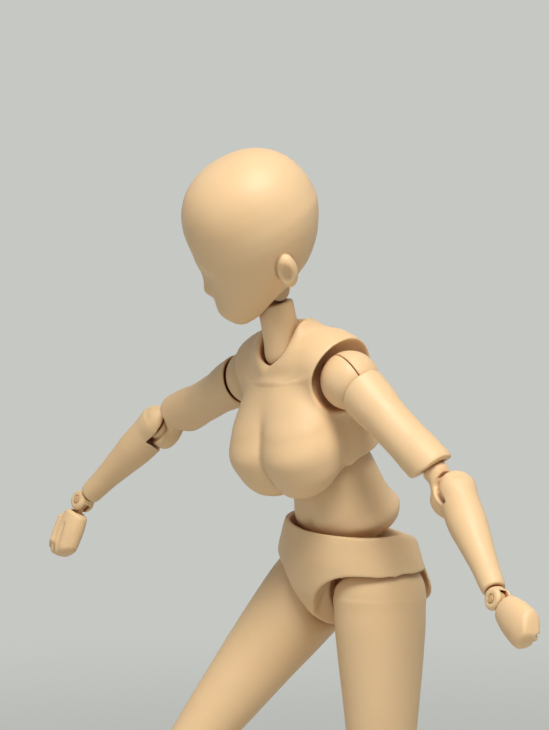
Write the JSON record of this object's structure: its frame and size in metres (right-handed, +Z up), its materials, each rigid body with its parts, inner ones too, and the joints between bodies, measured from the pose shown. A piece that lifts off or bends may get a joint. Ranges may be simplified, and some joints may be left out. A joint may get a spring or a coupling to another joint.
{
  "type": "articulated figure",
  "caption": "Plain articulated pose figure in smooth plastic: shell torso, split-ball shoulders, pegged limbs, hinged elbows, knees and wrists, standing on both soles in a lunge.",
  "frame": {"origin": "middle of the figure's box in plan, on the plane of both soles", "axes": "+Z up, -Y the way the pelvis faces, +X the figure's left side"},
  "size_m": [0.0884, 0.064, 0.1172],
  "materials": {
    "shell_plastic": "smooth satin warm beige",
    "joint_plastic": "smooth satin warm beige, slightly deeper"
  },
  "bodies": {
    "pelvis": {"hip_block": "joint_plastic", "pelvis_shell": "shell_plastic"},
    "head": {"head": "shell_plastic"},
    "head_joint": {"head_joint": "joint_plastic"},
    "neck": {"neck": "shell_plastic"},
    "chest": {"chest": "shell_plastic"},
    "left_hand": {"left_hand": "shell_plastic"},
    "left_hand_peg": {"left_hand_peg": "joint_plastic"},
    "left_wrist_joint": {"left_wrist_joint": "shell_plastic", "left_wrist_pin": "joint_plastic"},
    "left_forearm": {"left_forearm": "shell_plastic"},
    "left_elbow_joint": {"left_elbow_joint": "shell_plastic", "left_elbow_pin": "joint_plastic"},
    "left_upper_arm": {"left_upper_arm": "shell_plastic"},
    "left_shoulder_outer": {"left_shoulder_outer": "shell_plastic"},
    "left_shoulder_inner": {"left_shoulder_inner": "shell_plastic", "left_shoulder_pin": "joint_plastic"},
    "left_collarbone": {"left_collarbone": "joint_plastic"},
    "right_hand": {"right_hand": "shell_plastic"},
    "right_hand_peg": {"right_hand_peg": "joint_plastic"},
    "right_wrist_joint": {"right_wrist_joint": "shell_plastic", "right_wrist_pin": "joint_plastic"},
    "right_forearm": {"right_forearm": "shell_plastic"},
    "right_elbow_joint": {"right_elbow_joint": "shell_plastic", "right_elbow_pin": "joint_plastic"},
    "right_upper_arm": {"right_upper_arm": "shell_plastic"},
    "right_shoulder_outer": {"right_shoulder_outer": "shell_plastic"},
    "right_shoulder_inner": {"right_shoulder_inner": "shell_plastic", "right_shoulder_pin": "joint_plastic"},
    "right_collarbone": {"right_collarbone": "joint_plastic"},
    "chest_joint": {"chest_joint": "joint_plastic"},
    "abdomen": {"abdomen": "shell_plastic"},
    "waist_joint": {"waist_joint": "joint_plastic"},
    "left_foot": {"left_foot": "shell_plastic"},
    "left_ankle_joint": {"left_ankle_joint": "joint_plastic", "left_ankle_pin": "joint_plastic"},
    "left_shin": {"left_shin": "shell_plastic"},
    "left_knee_joint": {"left_knee_joint": "shell_plastic", "left_knee_upper_pin": "joint_plastic", "left_knee_lower_pin": "joint_plastic"},
    "left_thigh": {"left_thigh": "shell_plastic"},
    "left_hip_outer": {"left_hip_outer": "joint_plastic"},
    "left_hip_inner": {"left_hip_inner": "joint_plastic", "left_hip_pin": "joint_plastic"},
    "right_foot": {"right_foot": "shell_plastic"},
    "right_ankle_joint": {"right_ankle_joint": "joint_plastic", "right_ankle_pin": "joint_plastic"},
    "right_shin": {"right_shin": "shell_plastic"},
    "right_knee_joint": {"right_knee_joint": "shell_plastic", "right_knee_upper_pin": "joint_plastic", "right_knee_lower_pin": "joint_plastic"},
    "right_thigh": {"right_thigh": "shell_plastic"},
    "right_hip_outer": {"right_hip_outer": "joint_plastic"},
    "right_hip_inner": {"right_hip_inner": "joint_plastic", "right_hip_pin": "joint_plastic"}
  },
  "joints": [
    {"name": "waist_roll", "type": "hinge", "parent": "pelvis", "child": "waist_joint", "pos_m": [-0.00089, 0.00458, 0.06774], "axis": [0, 0.9903, 0.1392], "range_deg": [-3, 10]},
    {"name": "abdomen_bend", "type": "hinge", "parent": "waist_joint", "child": "abdomen", "pos_m": [-0.00097, 0.00388, 0.07269], "axis": [0.9998, -0.0024, 0.0173], "range_deg": [-35, 10]},
    {"name": "chest_bend", "type": "hinge", "parent": "abdomen", "child": "chest_joint", "pos_m": [-0.00108, 0.00114, 0.07858], "axis": [0.9998, -0.0024, 0.0173], "range_deg": [-15.5, 16.5]},
    {"name": "chest_twist", "type": "hinge", "parent": "chest_joint", "child": "chest", "pos_m": [-0.00115, -0.00026, 0.08232], "axis": [-0.017, -0.3502, 0.9365], "range_deg": [-36, 24]},
    {"name": "neck_bend", "type": "hinge", "parent": "chest", "child": "neck", "pos_m": [-0.00116, -0.00561, 0.09207], "axis": [0.994, 0.0955, 0.0538], "range_deg": [-23, 29]},
    {"name": "head_nod", "type": "hinge", "parent": "neck", "child": "head_joint", "pos_m": [-0.00143, -0.00721, 0.0999], "axis": [0.994, 0.0955, 0.0538], "range_deg": [-47.5, 12.5]},
    {"name": "head_turn", "type": "hinge", "parent": "head_joint", "child": "head", "pos_m": [-0.00144, -0.00817, 0.10165], "axis": [-0.0008, -0.4841, 0.875], "range_deg": [-52, 128]},
    {"name": "left_collarbone_swing", "type": "hinge", "parent": "chest", "child": "left_collarbone", "pos_m": [0.002, -0.00146, 0.08941], "axis": [-0.017, -0.3502, 0.9365], "range_deg": [-4, 14]},
    {"name": "left_arm_swing", "type": "hinge", "parent": "left_collarbone", "child": "left_shoulder_inner", "pos_m": [0.00795, -0.00225, 0.08922], "axis": [0.9906, -0.1328, -0.0316], "range_deg": [-177, 83]},
    {"name": "left_arm_spread", "type": "hinge", "parent": "left_shoulder_inner", "child": "left_shoulder_outer", "pos_m": [0.00795, -0.00225, 0.08922], "axis": [0.1323, 0.8776, 0.4607], "range_deg": [-70, 18]},
    {"name": "left_arm_turn", "type": "hinge", "parent": "left_shoulder_outer", "child": "left_upper_arm", "pos_m": [0.00795, -0.00225, 0.08922], "axis": [-0.7804, -0.1943, 0.5944], "range_deg": [-90, 90]},
    {"name": "left_elbow_turn", "type": "hinge", "parent": "left_upper_arm", "child": "left_elbow_joint", "pos_m": [0.02379, 0.00169, 0.07715], "axis": [-0.7804, -0.1943, 0.5944], "range_deg": [-108, 72]},
    {"name": "left_elbow_bend", "type": "hinge", "parent": "left_elbow_joint", "child": "left_forearm", "pos_m": [0.02379, 0.00169, 0.07715], "axis": [0.6222, -0.1455, 0.7693], "range_deg": [-72.5, 22.5]},
    {"name": "left_wrist_turn", "type": "hinge", "parent": "left_forearm", "child": "left_wrist_joint", "pos_m": [0.03608, -0.00147, 0.06661], "axis": [-0.7451, 0.1917, 0.6389], "range_deg": [-48.5, 161.5]},
    {"name": "left_wrist_bend", "type": "hinge", "parent": "left_wrist_joint", "child": "left_hand_peg", "pos_m": [0.03608, -0.00147, 0.06661], "axis": [-0.0306, -0.9666, 0.2544], "range_deg": [-79.5, 40.5]},
    {"name": "left_hand_turn", "type": "hinge", "parent": "left_hand_peg", "child": "left_hand", "pos_m": [0.03608, -0.00147, 0.06661], "axis": [-0.9247, 0.1239, 0.3598], "range_deg": [-180, 30]},
    {"name": "right_collarbone_swing", "type": "hinge", "parent": "chest", "child": "right_collarbone", "pos_m": [-0.00476, -0.00211, 0.08904], "axis": [-0.017, -0.3502, 0.9365], "range_deg": [-14, 4]},
    {"name": "right_arm_swing", "type": "hinge", "parent": "right_collarbone", "child": "right_shoulder_inner", "pos_m": [-0.01039, -0.00402, 0.08823], "axis": [0.9383, 0.3181, 0.136], "range_deg": [-183.5, 76.5]},
    {"name": "right_arm_spread", "type": "hinge", "parent": "right_shoulder_inner", "child": "right_shoulder_outer", "pos_m": [-0.01039, -0.00402, 0.08823], "axis": [-0.3399, 0.7749, 0.5328], "range_deg": [-40, 48]},
    {"name": "right_arm_turn", "type": "hinge", "parent": "right_shoulder_outer", "child": "right_upper_arm", "pos_m": [-0.01039, -0.00402, 0.08823], "axis": [0.9121, 0.1337, 0.3874], "range_deg": [-90, 90]},
    {"name": "right_elbow_turn", "type": "hinge", "parent": "right_upper_arm", "child": "right_elbow_joint", "pos_m": [-0.0289, -0.00673, 0.08036], "axis": [0.9121, 0.1337, 0.3874], "range_deg": [-112.5, 67.5]},
    {"name": "right_elbow_bend", "type": "hinge", "parent": "right_elbow_joint", "child": "right_forearm", "pos_m": [-0.0289, -0.00673, 0.08036], "axis": [0.0815, 0.8673, -0.4911], "range_deg": [-71.5, 23.5]},
    {"name": "right_wrist_turn", "type": "hinge", "parent": "right_forearm", "child": "right_wrist_joint", "pos_m": [-0.04006, -0.01191, 0.06937], "axis": [0.6763, 0.3139, 0.6664], "range_deg": [-105.5, 104.5]},
    {"name": "right_wrist_bend", "type": "hinge", "parent": "right_wrist_joint", "child": "right_hand_peg", "pos_m": [-0.04006, -0.01191, 0.06937], "axis": [-0.1171, 0.939, -0.3234], "range_deg": [-31, 89]},
    {"name": "right_hand_turn", "type": "hinge", "parent": "right_hand_peg", "child": "right_hand", "pos_m": [-0.04006, -0.01191, 0.06937], "axis": [0.2389, 0.3427, 0.9086], "range_deg": [-210, 0]},
    {"name": "left_hip_swing", "type": "hinge", "parent": "pelvis", "child": "left_hip_inner", "pos_m": [0.00472, 0.00441, 0.06175], "axis": [-0.9976, -0.0097, 0.0691], "range_deg": [-24, 40]},
    {"name": "left_hip_spread", "type": "hinge", "parent": "left_hip_inner", "child": "left_hip_outer", "pos_m": [0.00472, 0.00441, 0.06175], "axis": [-0.0109, 0.9998, -0.0171], "range_deg": [-32, 4]},
    {"name": "left_thigh_turn", "type": "hinge", "parent": "left_hip_outer", "child": "left_thigh", "pos_m": [0.00472, 0.00441, 0.06175], "axis": [-0.0358, 0.0167, 0.9992], "range_deg": [-5, 30]},
    {"name": "left_knee_upper", "type": "hinge", "parent": "left_thigh", "child": "left_knee_joint", "pos_m": [0.0058, 0.00391, 0.03157], "axis": [0.9681, -0.2476, 0.0388], "range_deg": [-21.9, 53.1]},
    {"name": "left_knee_lower", "type": "hinge", "parent": "left_knee_joint", "child": "left_shin", "pos_m": [0.00642, 0.00564, 0.02692], "axis": [0.9681, -0.2476, 0.0388], "range_deg": [-21.9, 53.1]},
    {"name": "left_ankle_roll", "type": "hinge", "parent": "left_shin", "child": "left_ankle_joint", "pos_m": [0.01202, 0.02428, 0.00638], "axis": [0.1542, 0.7104, 0.6867], "range_deg": [-33.1, 26.9]},
    {"name": "left_ankle_pitch", "type": "hinge", "parent": "left_ankle_joint", "child": "left_foot", "pos_m": [0.01245, 0.0263, 0.0042], "axis": [0.9772, -0.2122, 0], "range_deg": [-2.6, 88.4]},
    {"name": "right_hip_swing", "type": "hinge", "parent": "pelvis", "child": "right_hip_inner", "pos_m": [-0.00726, 0.0043, 0.06258], "axis": [0.9976, 0.0097, -0.0691], "range_deg": [-16.5, 58.5]},
    {"name": "right_hip_spread", "type": "hinge", "parent": "right_hip_inner", "child": "right_hip_outer", "pos_m": [-0.00726, 0.0043, 0.06258], "axis": [-0.048, 0.8139, -0.579], "range_deg": [-10, 26]},
    {"name": "right_thigh_turn", "type": "hinge", "parent": "right_hip_outer", "child": "right_thigh", "pos_m": [-0.00726, 0.0043, 0.06258], "axis": [0.2569, 0.5703, 0.7803], "range_deg": [-15, 20]},
    {"name": "right_knee_upper", "type": "hinge", "parent": "right_thigh", "child": "right_knee_joint", "pos_m": [-0.01501, -0.01293, 0.03902], "axis": [0.9652, -0.1113, -0.2365], "range_deg": [-15, 60]},
    {"name": "right_knee_lower", "type": "hinge", "parent": "right_knee_joint", "child": "right_shin", "pos_m": [-0.01632, -0.01463, 0.0345], "axis": [0.9652, -0.1113, -0.2365], "range_deg": [-15, 60]},
    {"name": "right_ankle_roll", "type": "hinge", "parent": "right_shin", "child": "right_ankle_joint", "pos_m": [-0.02329, -0.01709, 0.00718], "axis": [0.0869, 0.99, -0.1113], "range_deg": [-16.2, 43.8]},
    {"name": "right_ankle_pitch", "type": "hinge", "parent": "right_ankle_joint", "child": "right_foot", "pos_m": [-0.02332, -0.01742, 0.0042], "axis": [0.9962, -0.0874, 0], "range_deg": [-49.4, 38.6]}
  ]
}
